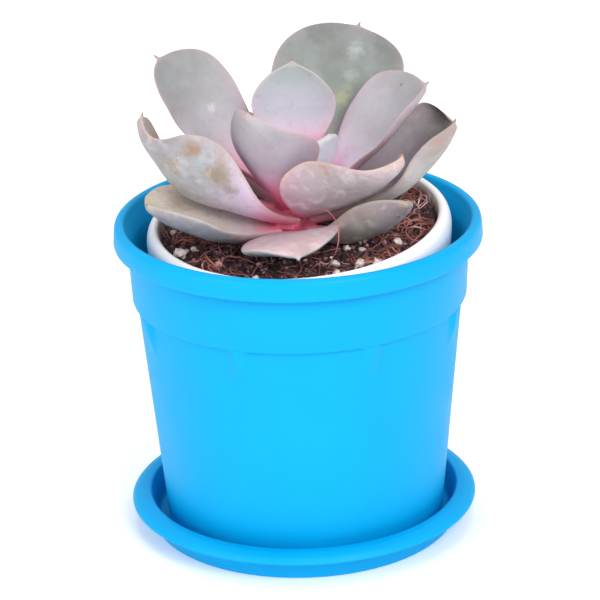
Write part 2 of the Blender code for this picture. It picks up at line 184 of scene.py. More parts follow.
SKINS = {
    "leaf_front_low": Skin(
        ("bda1a3", "c5aeb6", "b9929c"), ("868688", "848386", "786a6f"), "b9b8af", 0.1, wear=0.5,
    ),
    "leaf_right_low": Skin(
        ("938f88", "989691", "a1868f"), ("75666e", "978f89", "8d6f78"), "9f9e90", 0.25, wear=0.7,
    ),
    # The darker under face is painted shade
    "leaf_left_low": Skin(
        ("d4c8b5", "d7c9bf", "c9b6bb"), ("928f94", "8d8b8f", "7b666c"), "afaea2", 0.15, wear=0.6,
    ),
    "leaf_back_low": Skin(
        ("938f88", "96918f", "a1848f"), ("8b8888", "938e8f", "937883"), "a9a39c", 0.2,
    ),
    "leaf_back_left": Skin(
        ("9a9493", "9d9396", "ab8693"), ("949093", "9a9396", "a1808d"), "aea6a2", 0.2,
    ),
    # The dark tip of the upper face is partly the older leaf's own tone and partly painted shade
    "leaf_right_outer": Skin(
        ("67615e", "afa3ad", "cab9c8"), ("9b918e", "d4cdc8", "c4abaf"), "ab9790", 0.1, wear=0.25,
    ),
    "leaf_left_outer": Skin(
        ("aba29b", "957c84", "936a76"), ("998c8f", "a1a5a9", "d3bedc"), "b3a39e", 0.75, wear=0.6,
    ),
    "leaf_front_right": Skin(
        ("a99fa2", "a99da2", "af8396"), ("baa7ab", "a6999b", "a98193"), "bda490", 0.3, wear=0.75,
    ),
    # The dark tip of the upper face is painted shade
    "leaf_back_tall": Skin(
        ("717472", "878f88", "b7a5ab"), ("939493", "9c9a9b", "b09ba6"), "9f928a", 0.05,
    ),
    "leaf_left_tall": Skin(
        ("848686", "a5a1a7", "e3adc3"), ("9d9a9e", "a79ba2", "c091a4"), "b39595", 0.05, 0.36,
    ),
    # The near-white base of the upper face is painted light against the shade among the crowded bases
    "leaf_right_tall": Skin(
        ("959396", "aba5ad", "f6dff6"), ("a59ba1", "ab9da5", "b58ba1"), "b6999a", 0.05, 0.36,
    ),
    "leaf_front_young": Skin(
        ("a4a1a6", "a8a1a9", "bd93a8"), ("9f9b9f", "a99dab", "d582ab"), "bba39e", 0.05, 0.4,
    ),
    "leaf_middle_young": Skin(
        ("a2adac", "b7b4c0", "f3cbe7"), ("a2a7ab", "ada9b2", "c09db2"), "bda6a8", 0.0, 0.42,
    ),
    "leaf_youngest": Skin(
        ("a2a2a9", "aba8b8", "b99ab2"), ("c4ccd2", "cfcfdd", "e0b7d3"), "bcb0ad", 0.0, 0.4,
    ),
}


# --------------------------------------------------------------------------- settings


def hex_colour(code):
    """An sRGB code such as "c8c0cc" as linear RGBA."""
    shares = [int(code[i:i + 2], 16) / 255 for i in (0, 2, 4)]
    linear = [c / 12.92 if c <= 0.04045 else ((c + 0.055) / 1.055) ** 2.4 for c in shares]
    return (*linear, 1.0)


def deeper(colour, share):
    """A linear colour darkened to a share of itself."""
    return (*(channel * share for channel in colour[:3]), 1)


def colour_property(name, code, description):
    return FloatVectorProperty(
        name=name, description=description, subtype="COLOR", size=4, min=0, max=1, default=hex_colour(code)
    )


class PlasticSettings(bpy.types.PropertyGroup):
    """The moulded pots and the saucer."""

    blue: colour_property("Blue", "00a0dc", "Colour of the planter and the saucer")
    white: colour_property("White", "f8f6f8", "Colour of the nursery pot")
    rib_proud: FloatProperty(
        name="Rib height", description="How far each rib stands out of the planter's body",
        subtype="DISTANCE", unit="LENGTH", default=1.5 * MM, min=0,
    )


class PlantSettings(bpy.types.PropertyGroup):
    """The leaves and the stem."""

    stem: colour_property("Stem", "d8607e", "Colour of the stem and the crown")
    leaf_base: colour_property("Leaf base", "e07898", "Flush where a leaf narrows to the stem")
    cork: colour_property("Cork", "a48c72", "Old scars on the lower leaves")
    waviness: FloatProperty(
        name="Waviness", description="Depth of the slow ripple along a leaf's margin",
        subtype="DISTANCE", unit="LENGTH", default=0.35 * MM, min=0,
    )


class MixSettings(bpy.types.PropertyGroup):
    """The potting mix and what lies in it."""

    peat: colour_property("Peat", "3a2127", "Colour of the damp peat")
    coir: colour_property("Coir", "b26f66", "Colour of the fibres")
    perlite: colour_property("Perlite", "e8dcd8", "Colour of the white grains")
    crumbs: IntProperty(name="Crumbs", description="Loose crumbs on the mix", default=1500, min=0)
    strands: IntProperty(name="Strands", description="Fine fibres lying on the mix", default=150, min=0)


# --------------------------------------------------------------------------- nodes and pieces


# For each kind of node: its inputs in the order they are given, its output and its usual settings
SOCKETS = {
    "Attribute": ((), "Fac", {}),
    "Bump": (("Height", "Strength", "Distance"), "Normal", {}),
    "MapRange": (
        ("Value", "From Min", "From Max", "To Min", "To Max"), "Result", {"interpolation_type": "SMOOTHSTEP"},
    ),
    "Math": ((0, 1), 0, {}),
    "Mix": ((0, 6, 7), 2, {"data_type": "RGBA"}),
    "TexCoord": ((), "Object", {}),
    "TexNoise": (("Vector", "Scale", "Detail"), "Fac", {}),
    "VectorMath": ((0, 1, "Scale"), 0, {}),
}


def add_node(tree, kind, *values, output=None, **settings):
    """Add a node with its settings, fill its inputs with values or links, and return its output."""
    inputs, usual_output, usual_settings = SOCKETS[kind]
    node = tree.nodes.new(f"ShaderNode{kind}")
    for key, value in {**usual_settings, **settings}.items():
        setattr(node, key, value)
    for socket, value in zip(inputs, values):
        if isinstance(value, bpy.types.NodeSocket):
            tree.links.new(value, node.inputs[socket])
        else:
            node.inputs[socket].default_value = value
    return node.outputs[usual_output if output is None else output]


def new_material(name, **shader_inputs):
    """A material with one Principled shader; returns (material, tree, shader)."""
    mat = bpy.data.materials.new(name)
    mat.use_nodes = True
    tree = mat.node_tree
    shader = tree.nodes["Principled BSDF"]
    for key, value in shader_inputs.items():
        shader.inputs[key.replace("_", " ").title().replace("Ior", "IOR")].default_value = value
    return mat, tree, shader


def place_in_mm(tree):
    """The object's own coordinates, in millimetres."""
    return add_node(tree, "VectorMath", add_node(tree, "TexCoord"), (0, 0, 0), 1 / MM, operation="SCALE")


def speckle(tree, place, size_mm, low, high, detail=2.0):
    """Noise with features of about size_mm, stretched so that low..high becomes 0..1."""
    return add_node(tree, "MapRange", add_node(tree, "TexNoise", place, 1 / size_mm, detail), low, high)


def add_piece(name, bm, mat, replaces=(), sharp_degrees=40):
    """Finish a bmesh, in millimetres, as a piece that rides on the body."""
    bmesh.ops.scale(bm, vec=(MM, MM, MM), verts=bm.verts)
    mesh = bpy.data.meshes.new(name)
    bm.to_mesh(mesh)
    bm.free()
    mesh.shade_smooth()
    mesh.set_sharp_from_angle(angle=math.radians(sharp_degrees))
    mesh.materials.append(mat)
    return own(bpy.data.objects.new(name, mesh), replaces)


def own(obj, replaces=()):
    """Link a piece, put it on the body and hide the nodes it stands for."""
    bpy.context.collection.objects.link(obj)
    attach(obj, "root")
    if replaces:
        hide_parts(*replaces)
    return obj


def rounded(corners, reach=0.35):
    """Cut every inner corner of an open (radius, height) outline twice, which rounds it."""
    for share in (reach, reach * 0.6):
        points = [corners[0]]
        for before, here, after in zip(corners, corners[1:], corners[2:]):
            for other in (before, after):
                gap = math.dist(here, other)
                step = min(share, 0.35 * gap) / gap
                points.append(tuple(a + (b - a) * step for a, b in zip(here, other)))
        corners = points + [corners[-1]]
    return corners


def turned(profile, steps=192):
    """Spin an open (radius, height) outline, which starts and ends on the axis, into a closed body."""
    bm = bmesh.new()
    verts = [bm.verts.new((radius, 0, height)) for radius, height in profile]
    edges = [bm.edges.new(pair) for pair in zip(verts, verts[1:])]
    bmesh.ops.spin(
        bm, geom=verts + edges, cent=(0, 0, 0), axis=(0, 0, 1), angle=2 * math.pi, steps=steps, use_merge=True
    )
    bmesh.ops.remove_doubles(bm, verts=bm.verts, dist=0.001)
    bmesh.ops.recalc_face_normals(bm, faces=bm.faces)
    return bm


# --------------------------------------------------------------------------- saucer and planter


def blue_polypropylene():
    """Injection-moulded polypropylene: even colour, satin sheen, faint flow marks.

    Its specular level is 0.12 where 0.5 is usual, to keep its colour as deep as the real plastic's.
    """
    plastic = bpy.context.scene.succulent_plastic
    mat, tree, shader = new_material("blue_polypropylene", roughness=0.45, ior=1.49, specular_ior_level=0.12)
    place = place_in_mm(tree)
    flow = speckle(tree, place, 30, 0.3, 0.7)
    # The mould's grain is finer than 0.1 mm, too fine to show, so it is drawn 0.8 mm wide
    tint = add_node(tree, "Mix", flow, deeper(plastic.blue, 0.96), tuple(plastic.blue))
    tree.links.new(tint, shader.inputs["Base Color"])
    tree.links.new(add_node(tree, "MapRange", flow, 0, 1, 0.4, 0.5), shader.inputs["Roughness"])
    relief = add_node(tree, "Bump", speckle(tree, place, 0.8, 0.2, 0.8), 0.05, 0.05 * MM)
    tree.links.new(relief, shader.inputs["Normal"])
    return mat


class SUCCULENT_OT_saucer(bpy.types.Operator):
    """Build the saucer, a shallow dish with a rolled rim"""

    bl_idname = "succulent.saucer"
    bl_label = "Saucer"

    def execute(self, context):
        rim = (SAUCER_HIGH[0] - SAUCER_LOW[0]) / 2 / MM
        top = SAUCER_HIGH[2] / MM
        base, floor = rim - 7.2, 1.8
        profile = rounded([
            (0, 0), (base, 0), (base + 1.5, 7.4), (base + 2.4, 9.1), (base + 4.4, 8.7), (rim - 0.5, 7.6),
            (rim, 8.4), (rim - 1.4, 10.1), (rim - 3.6, 11.1), (rim - 5.6, top), (base + 0.6, top - 0.2),
            (base - 1.4, 2.8), (base - 2.4, floor), (0, floor),
        ])
        bm = turned(profile)
        middle = (SAUCER_HIGH[0] + SAUCER_LOW[0]) / 2 / MM
        bmesh.ops.translate(bm, vec=(middle, 0, 0), verts=bm.verts)
        add_piece("saucer_finished", bm, blue_polypropylene(), ["saucer"])
        return {"FINISHED"}


RIBS = 8
RIB_TURN = math.radians(-66.5)
RIB_HALF_WIDTH = math.radians(4.6)
RIB_FOOT = 66.0
COLLAR_FOOT = 79.7
BAND_FOOT = 99.2


def body_radius(height):
    """Outside radius of the planter's tapering body."""
    return 53.4 - 0.095 * (COLLAR_FOOT - height)


def rib_share(angle, height):
    """How far a point lies up a rib: 0 off it, 1 on its crest under the collar."""
    pitch = 2 * math.pi / RIBS
    off = abs((angle - RIB_TURN + math.pi / 2 + pitch / 2) % pitch - pitch / 2) / RIB_HALF_WIDTH
    across = 0.5 + 0.5 * math.cos(math.pi * min(off, 1))
    up = min(max((height - RIB_FOOT) / (COLLAR_FOOT - RIB_FOOT), 0), 1)
    return min(1, 1.6 * across) * up * up * (3 - 2 * up)


def gather_to_ribs(angle):
    """Crowd the mesh's columns towards the ribs, where the shape changes fastest."""
    phase = (angle - RIB_TURN + math.pi / 2) * RIBS
    return angle - 0.5 * math.sin(phase) / RIBS


class SUCCULENT_OT_planter(bpy.types.Operator):
    """Build the planter: banded rim, stepped collar, eight short ribs and a tapering body"""

    bl_idname = "succulent.planter"
    bl_label = "Planter"

    def execute(self, context):
        proud = context.scene.succulent_plastic.rib_proud / MM
        collar = body_radius(COLLAR_FOOT) + proud
        band = (PLANTER_HIGH[0] - PLANTER_LOW[0]) / 2 / MM
        foot, top, floor, wall = PLANTER_LOW[2] / MM, PLANTER_HIGH[2] / MM, 4.4, 2.0
        step = COLLAR_FOOT
        rib_rows = [RIB_FOOT + (step - 0.3 - RIB_FOOT) * i / 14 for i in range(15)]
        outer = [(body_radius(z), z) for z in (4.0, 20.0, 35.0, 50.0, *rib_rows)]
        lower = rounded([(0, foot), (45.9, foot), (46.0, 2.9), outer[0]])[:-1]
        upper = rounded([
            outer[-1], (collar, step + 0.1), (55.9, 99.0), (56.6, 103.0), (58.6, 103.4), (58.9, BAND_FOOT),
            (band, BAND_FOOT), (band - 0.4, 105.0), (band - 1.0, top - 0.4), (band - 2.0, top),
            (57.3, top - 0.1), (56.7, top - 0.7), (56.3, 104.0), (54.3, 98.5), (body_radius(step) - wall, step),
            (body_radius(8) - wall, 8), (43.6, floor + 0.5), (42.6, floor), (0, floor),
        ], 0.5)[1:]
        bm = turned(lower + outer + upper, steps=256)
        for vert in bm.verts:
            radius = math.hypot(vert.co.x, vert.co.y)
            angle = gather_to_ribs(math.atan2(vert.co.y, vert.co.x))
            outside = radius > body_radius(vert.co.z) - 0.5 and RIB_FOOT - 1 < vert.co.z < step + 0.3
            if outside and radius < collar:
                radius += (collar - radius) * rib_share(angle, vert.co.z)
            vert.co.x = radius * math.cos(angle)
            vert.co.y = radius * math.sin(angle)
        add_piece("planter_finished", bm, blue_polypropylene(), ["planter"], 35)
        return {"FINISHED"}


# --------------------------------------------------------------------------- nursery pot and mix


def pot_frame():
    """Place of the nursery pot's lip circle, with the pot's axis as Z."""
    lean = Matrix.Rotation(-POT_LEAN_LEFT, 4, "Y") @ Matrix.Rotation(POT_LEAN_FORWARD, 4, "X")
    return Matrix.Translation(POT_LIP_CENTRE) @ lean


def pot_inner_radius(depth):
    """Inside radius of the nursery pot's wall at a depth below its lip."""
    foot_r = POT_BASE_R - POT_WALL - 0.3
    narrowing = (foot_r - POT_THROAT_R) * (depth - POT_THROAT_DEPTH)
    return POT_THROAT_R + narrowing / (POT_DEPTH - POT_WALL - POT_THROAT_DEPTH)


def white_polypropylene():
    """Thin white polypropylene that lets a little light through, stained by the mix inside."""
    plastic = bpy.context.scene.succulent_plastic
    mat, tree, shader = new_material("white_polypropylene", roughness=0.36, ior=1.49)
    place = place_in_mm(tree)
    stain = add_node(tree, "Attribute", attribute_name="stain")
    patches = add_node(tree, "Math", stain, speckle(tree, place, 4, 0.2, 0.65, 4), operation="MULTIPLY")
    tint = add_node(tree, "Mix", patches, tuple(plastic.white), hex_colour("7d625c"))
    tree.links.new(tint, shader.inputs["Base Color"])
    relief = add_node(tree, "Bump", speckle(tree, place, 1.2, 0.2, 0.8), 0.04, 0.05 * MM)
    tree.links.new(relief, shader.inputs["Normal"])
    return mat


class SUCCULENT_OT_nursery_pot(bpy.types.Operator):
    """Build the white nursery pot that leans inside the planter"""

    bl_idname = "succulent.nursery_pot"
    bl_label = "Nursery Pot"

    def execute(self, context):
        lip, skirt, depth = POT_LIP_R, 49.95, POT_DEPTH
        profile = rounded([
            (0, -depth), (POT_BASE_R, -depth), (46.6, -12.2), (49.1, -11.8), (49.4, -11.0), (49.8, -7.5),
            (skirt, -4.6), (49.7, -2.9), (49.2, -1.5), (48.3, -0.4), (47.2, 0.2), (lip + 0.3, 0),
            (lip - 0.2, -0.6), (POT_THROAT_R, -POT_THROAT_DEPTH), (pot_inner_radius(96), -96),
            (pot_inner_radius(96) - 0.9, -depth + POT_WALL), (0, -depth + POT_WALL),
        ], 0.4)
        bm = turned(profile)
        stain = bm.verts.layers.float.new("stain")
        for vert in bm.verts:
            inside = math.hypot(vert.co.x, vert.co.y) < lip + 0.1
            vert[stain] = min(max((-0.5 - vert.co.z) / 2.0, 0), 1) if inside else 0
        bmesh.ops.transform(bm, matrix=pot_frame(), verts=bm.verts)
        add_piece("nursery_pot_finished", bm, white_polypropylene(), ["nursery_pot"])
        return {"FINISHED"}


def mix_depth(radius):
    """Depth of the mix below the lip, a little deeper in the middle."""
    share = min(radius / POT_LIP_R, 1)
    return MIX_MIDDLE_DEPTH + (MIX_EDGE_DEPTH - MIX_MIDDLE_DEPTH) * share * share


def lumps(x, y):
    """Uneven surface of the mix, from broad hollows down to crumbs, in millimetres."""
    height = 1.2 * noise.noise(Vector((x, y, 0)) / 9) + 1.2 * noise.noise(Vector((x, y, 7)) / 3.4)
    return height + 0.6 * noise.noise(Vector((x, y, 3)) / 1.5)


def mix_point(x, y, lift=0.0):
    """A point lift above the mix, from its place in the leaning pot's own plane."""
    height = -mix_depth(math.hypot(x, y)) + lumps(x, y) + lift
    return pot_frame() @ Vector((x, y, height))


def scattered(draw, reach):
    """A random place within reach of the pot's axis, in the pot's own plane."""
    radius, turn = reach * math.sqrt(draw.random()), draw.uniform(0, 2 * math.pi)
    return radius * math.cos(turn), radius * math.sin(turn)


def damp_peat():
    """Damp peat: nearly black where it is wet and low, red-brown where crumbs have dried."""
    peat = bpy.context.scene.succulent_mix.peat
    mat, tree, shader = new_material("damp_peat", roughness=0.85)
    place = place_in_mm(tree)
    dry = speckle(tree, place, 1.6, 0.42, 0.72, 6)
    tint = add_node(tree, "Mix", dry, deeper(peat, 0.55), hex_colour("80565f"))
    tint = add_node(tree, "Mix", speckle(tree, place, 0.9, 0.62, 0.72, 3), tint, hex_colour("bd9499"))
    tree.links.new(tint, shader.inputs["Base Color"])
    tree.links.new(add_node(tree, "MapRange", dry, 0, 1, 0.6, 0.95), shader.inputs["Roughness"])
    relief = add_node(tree, "Bump", speckle(tree, place, 0.7, 0.2, 0.8, 5), 0.8, 0.6 * MM)
    tree.links.new(relief, shader.inputs["Normal"])
    return mat


class SUCCULENT_OT_potting_mix(bpy.types.Operator):
    """Build the potting mix with its uneven, crumbly top"""

    bl_idname = "succulent.potting_mix"
    bl_label = "Potting Mix"

    def execute(self, context):
        rings = [44.9 - i * 0.62 for i in range(72)]
        profile = [(0, -95.5), (pot_inner_radius(95) - 0.8, -95.5), (pot_inner_radius(7) - 0.3, -7)]
        bm = turned(profile + [(r, -mix_depth(r)) for r in rings] + [(0, -MIX_MIDDLE_DEPTH)], steps=300)
        for vert in bm.verts:
            if vert.co.z > -6.5:
                vert.co.z += lumps(vert.co.x, vert.co.y)
        bmesh.ops.transform(bm, matrix=pot_frame(), verts=bm.verts)
        add_piece("potting_mix_finished", bm, damp_peat(), ["potting_mix"], 180)
        return {"FINISHED"}


def dried_crumb():
    """Loose bits of peat and bark, each its own shade of brown."""
    mat, tree, shader = new_material("dried_peat_crumb", roughness=0.9)
    shade = add_node(tree, "Attribute", attribute_name="shade")
    browner = add_node(tree, "MapRange", shade, 0, 0.7)
    brown = add_node(tree, "Mix", browner, hex_colour("2c1a1c"), hex_colour("6d444c"))
    tint = add_node(tree, "Mix", add_node(tree, "MapRange", shade, 0.75, 1), brown, hex_colour("c49c9a"))
    tree.links.new(tint, shader.inputs["Base Color"])
    relief = add_node(tree, "Bump", speckle(tree, place_in_mm(tree), 0.5, 0.2, 0.8, 3), 0.5, 0.3 * MM)
    tree.links.new(relief, shader.inputs["Normal"])
    return mat


class SUCCULENT_OT_crumbs(bpy.types.Operator):
    """Scatter loose crumbs of peat and bark over the mix"""

    bl_idname = "succulent.crumbs"
    bl_label = "Crumbs"

    def execute(self, context):
        draw = random.Random(11)
        bm = bmesh.new()
        shade = bm.verts.layers.float.new("shade")
        for _ in range(context.scene.succulent_mix.crumbs):
            x, y = scattered(draw, 44)
            across = draw.uniform(0.4, 1.7) * (1.5 if draw.random() < 0.1 else 1)
            stretch = Matrix.Diagonal((1, draw.uniform(0.45, 1), draw.uniform(0.4, 0.9), 1))
            spin = Matrix.Rotation(draw.uniform(0, 6.3), 4, "Z")
            spin = spin @ Matrix.Rotation(draw.uniform(-0.6, 0.6), 4, "X")
            place = Matrix.Translation(mix_point(x, y, across * 0.15))
            made = bmesh.ops.create_icosphere(
                bm, subdivisions=1, radius=across / 2 * draw.uniform(0.9, 1.3), matrix=place @ spin @ stretch
            )
            tone = draw.random()
            for vert in made["verts"]:
                vert.co += noise.noise_vector(vert.co * 1.7) * across * 0.16
                vert[shade] = tone
        add_piece("peat_crumbs", bm, dried_crumb(), sharp_degrees=25)
        return {"FINISHED"}


# --------------------------------------------------------------------------- perlite and fibres


def expanded_perlite():
    """Expanded perlite: chalky white, pitted, dusted with peat low down."""
    mat, tree, shader = new_material("expanded_perlite", roughness=0.9)
    place = place_in_mm(tree)
    dust = speckle(tree, place, 1.3, 0.45, 0.7, 3)
    tint = add_node(tree, "Mix", dust, tuple(bpy.context.scene.succulent_mix.perlite), hex_colour("a88680"))
    tree.links.new(tint, shader.inputs["Base Color"])
    relief = add_node(tree, "Bump", speckle(tree, place, 0.5, 0.2, 0.8, 3), 0.6, 0.3 * MM)
    tree.links.new(relief, shader.inputs["Normal"])
    return mat


def grain_body(bm, middle, across, seed):
    """One lumpy, rounded grain."""
    place = Matrix.Translation(middle)
    made = bmesh.ops.create_icosphere(bm, subdivisions=3, radius=across / 2, matrix=place)
    for vert in made["verts"]:
        away = vert.co - middle
        away.z *= 0.82
        lump = 1 + 0.5 * noise.noise(away * 0.8 + Vector((seed, 0, 0))) + 0.25 * noise.noise(away * 2.2)
        vert.co = middle + away * lump


SMALL_GRAINS = 22


class SUCCULENT_OT_perlite(bpy.types.Operator):
    """Build the perlite grains, large ones where the frame has them and small ones scattered"""

    bl_idname = "succulent.perlite"
    bl_label = "Perlite"

    def execute(self, context):
        white = expanded_perlite()
        for i, name in enumerate(sorted(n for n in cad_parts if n.startswith("perlite_grain"))):
            low, high = (Vector(corner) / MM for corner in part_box(name))
            bm = bmesh.new()
            grain_body(bm, (low + high) / 2 - Vector((0, 0, 0.9)), high.x - low.x - 0.1, i * 3.1)
            add_piece(f"{name}_finished", bm, white, [name], 180)
        draw = random.Random(5)
        bm = bmesh.new()
        for i in range(SMALL_GRAINS):
            x, y = scattered(draw, 43)
            grain_body(bm, mix_point(x, y, 0.1), draw.uniform(0.7, 1.5), i * 1.7)
        add_piece("perlite_crumbs", bm, white, sharp_degrees=180)
        return {"FINISHED"}


def coir_fibre():
    """Coconut fibre: dry, thin and red-brown to straw, with paler patches of painted highlight."""
    mat, tree, shader = new_material("coir_fibre", roughness=0.7)
    place = place_in_mm(tree)
    straw = speckle(tree, place, 7, 0.35, 0.65)
    coir = bpy.context.scene.succulent_mix.coir
    tint = add_node(tree, "Mix", straw, deeper(coir, 0.5), tuple(coir))
    # Paler patches of painted highlight over the fibre's own red-brown to straw
    tint = add_node(tree, "Mix", speckle(tree, place, 11, 0.55, 0.7), tint, hex_colour("e8bfba"))
    tree.links.new(tint, shader.inputs["Base Color"])
    return mat


def add_strands(name, routes, thickness, mat, replaces=()):
    """Fibres along routes of points in millimetres, as one bevelled curve."""
    curve = bpy.data.curves.new(name, "CURVE")
    curve.dimensions = "3D"
    curve.bevel_depth = thickness / 2 * MM
    curve.bevel_resolution = 1
    curve.use_fill_caps = True
    for route in routes:
        spline = curve.splines.new("POLY")
        spline.points.add(len(route) - 1)
        for i, (point, place) in enumerate(zip(spline.points, route)):
            point.co = (*(place * MM), 1)
            point.radius = 1 - 0.6 * (2 * i / (len(route) - 1) - 1) ** 4
    curve.materials.append(mat)
    return own(bpy.data.objects.new(name, curve), replaces)


THICKER_STRANDS = 34

# A strand caught on the front leaves, from end to end
LOOSE_STRAND = (
    (4.0, -26.0, 117.5), (9.0, -30.0, 121.0), (13.5, -34.0, 119.0),
    (14.5, -37.0, 113.0), (12.5, -38.5, 107.0), (9.0, -37.0, 103.0),
)


def spline_point(points, share):
    """A point on the Bezier curve that the points pull."""
    while len(points) > 1:
        points = [a.lerp(b, share) for a, b in zip(points, points[1:])]
    return points[0]


STRAND_STEP = 0.9
STRAND_TURNS_BACK = 44.2  # from the pot's axis
STRAND_REACH = 44.4


def curly_route(draw, x, y, length, heading, lift):
    """A fibre that wanders over the mix in a loose curl and arches off it."""
    turn, bend = heading, draw.uniform(-0.09, 0.09)
    steps = max(int(length / STRAND_STEP), 6)
    route = []
    for i in range(steps + 1):
        share = i / steps
        if math.hypot(x, y) > STRAND_TURNS_BACK:
            turn += 0.6
        route.append(mix_point(x, y, 0.25 + lift * math.sin(math.pi * share) ** 2))
        bend += draw.uniform(-0.07, 0.07)
        bend = min(max(bend, -0.25), 0.25)
        turn += bend
        x, y = x + STRAND_STEP * math.cos(turn), y + STRAND_STEP * math.sin(turn)
        reach = math.hypot(x, y)
        if reach > STRAND_REACH:
            x, y = x * STRAND_REACH / reach, y * STRAND_REACH / reach
    return route


class SUCCULENT_OT_fibres(bpy.types.Operator):
    """Lay the coir fibres: the thick ones where the frame has them, and fine curly ones"""

    bl_idname = "succulent.fibres"
    bl_label = "Coir Fibres"

    def execute(self, context):
        draw = random.Random(23)
        dry = coir_fibre()
        for name in sorted(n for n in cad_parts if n.startswith("coir_fibre")):
            low, high = (Vector(corner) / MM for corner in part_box(name))
            middle, reach = (low + high) / 2, (high - low).length
            heading = draw.uniform(0, 2 * math.pi)
            routes = [
                curly_route(
                    draw, middle.x + draw.uniform(-4, 4), middle.y + draw.uniform(-4, 4),
                    reach * draw.uniform(0.6, 1.2), heading + draw.uniform(-1, 1), draw.uniform(0.5, 2.2),
                )
                for _ in range(9)
            ]
            add_strands(f"{name}_finished", routes, 0.6, dry, [name])
        hanging = [Vector(point) for point in LOOSE_STRAND]
        route = [spline_point(hanging, i / 24) for i in range(25)]
        add_strands("coir_loose_strand", [route], 0.45, dry)
        for thickness, count in ((0.32, context.scene.succulent_mix.strands), (0.5, THICKER_STRANDS)):
            routes = []
            for _ in range(count):
                x, y = scattered(draw, 43)
                length, heading = draw.uniform(5, 17), draw.uniform(0, 2 * math.pi)
                routes.append(curly_route(draw, x, y, length, heading, draw.uniform(0, 1.8)))
            add_strands(f"coir_strands_{int(thickness * 100)}", routes, thickness, dry)
        return {"FINISHED"}


# --------------------------------------------------------------------------- stem and leaves


def stem_point(height):
    return STEM_FOOT.lerp(STEM_TOP, (height - STEM_FOOT.z) / (STEM_TOP.z - STEM_FOOT.z))


def stem_radius(height):
    share = min(max((height - STEM_FOOT.z) / (STEM_TOP.z - STEM_FOOT.z), 0), 1.2)
    return STEM_FOOT_R + (STEM_TOP_R - STEM_FOOT_R) * share


def smooth_step(share):
    share = min(max(share, 0), 1)
    return share * share * (3 - 2 * share)


def blade_share(share, leaf):
    """Width of a leaf along its length, as a share of its greatest width."""
    if share < leaf.widest:
        opening = math.sin(max(share, 0) / leaf.widest * math.pi / 2) ** 1.6
        return leaf.petiole + (1 - leaf.petiole) * opening
    past = min((share - leaf.widest) / (1 - MUCRO_SHARE - leaf.widest), 1)
    blunt_end = (1 - past ** 2.3) ** (0.53 + 0.42 * leaf.point)
    mucro = (0.2 + 0.15 * leaf.point) * min((1 - share) / (3.2 * MUCRO_SHARE), 1) ** 1.4
    return (blunt_end ** 3 + mucro ** 3) ** (1 / 3)


class Midrib:
    """A leaf's middle line: where it runs and which way its blade faces at any share of its length."""

    STEPS = 40

    def __init__(self, leaf):
        self.leaf = leaf
        start = math.radians(leaf.heading)
        lean = max(math.sin(math.radians(leaf.rise)), 0)
        away = stem_radius(leaf.height) + 0.5 + 2.4 * lean
        point = stem_point(leaf.height) + away * Vector((math.cos(start), math.sin(start), 0))
        self.points, self.ways = [], []
        for i in range(self.STEPS + 1):
            share = i / self.STEPS
            curl = leaf.curl * min(max((share - 0.72) / 0.28, 0), 1) ** 1.5
            rise = math.radians(leaf.rise + (leaf.tip_rise - leaf.rise) * share ** 1.2 + curl)
            heading = math.radians(leaf.heading + leaf.swing * share)
            level = math.cos(rise)
            way = Vector((level * math.cos(heading), level * math.sin(heading), math.sin(rise)))
            if i:
                point = point + (way + self.ways[-1]) / 2 * (leaf.length / self.STEPS)
            self.points.append(point)
            self.ways.append(way)

    def frame(self, share):
        """(point, across, out) at a share of the length; below 0 it runs on into the stem."""
        leaf = self.leaf
        whole = min(max(int(share * self.STEPS), 0), self.STEPS - 1)
        part = share * self.STEPS - whole
        point = self.points[whole] + (self.points[whole + 1] - self.points[whole]) * part
        way = self.ways[whole].lerp(self.ways[whole + 1], min(max(part, 0), 1)).normalized()
        heading = math.radians(leaf.heading + leaf.swing * max(share, 0))
        level = Vector((-math.sin(heading), math.cos(heading), 0))
        up = way.cross(level)
        tilt = leaf.roll * smooth_step(share / 0.5) + leaf.twist * smooth_step((share - 0.5) / 0.5)
        tilt = math.radians(tilt)
        across = level * math.cos(tilt) + up * math.sin(tilt)
        return point, across, up * math.cos(tilt) - level * math.sin(tilt)


def skin_point(leaf, midrib, share, turn):
    """(point, half width) on a leaf's skin at a turn round its section, which starts at one margin."""
    point, across, out = midrib.frame(share)
    half = leaf.width / 2 * blade_share(share, leaf)
    trough = (0.35 + 0.65 * smooth_step(share / 0.45)) * (1 - 0.35 * smooth_step((share - 0.7) / 0.3))
    trough = math.radians(max(leaf.cup, 2)) * trough
    thickness = BASE_THICKNESS + (TIP_THICKNESS - BASE_THICKNESS) * smooth_step((share - 0.1) / 0.8)
    thickness *= min(half / (leaf.width * 0.125), 1) ** 0.5
    bend = trough * math.cos(turn)
    keel = leaf.keel * smooth_step(share / 0.3) * smooth_step((1 - share) / 0.25)
    depth = thickness * UPPER_BULGE if math.sin(turn) > 0 else thickness * LOWER_BULGE + keel
    bulge = math.sin(turn) * depth
    height = half * (1 - math.cos(bend)) / trough + bulge
    return point + across * (half * math.sin(bend) / trough) + out * height, half


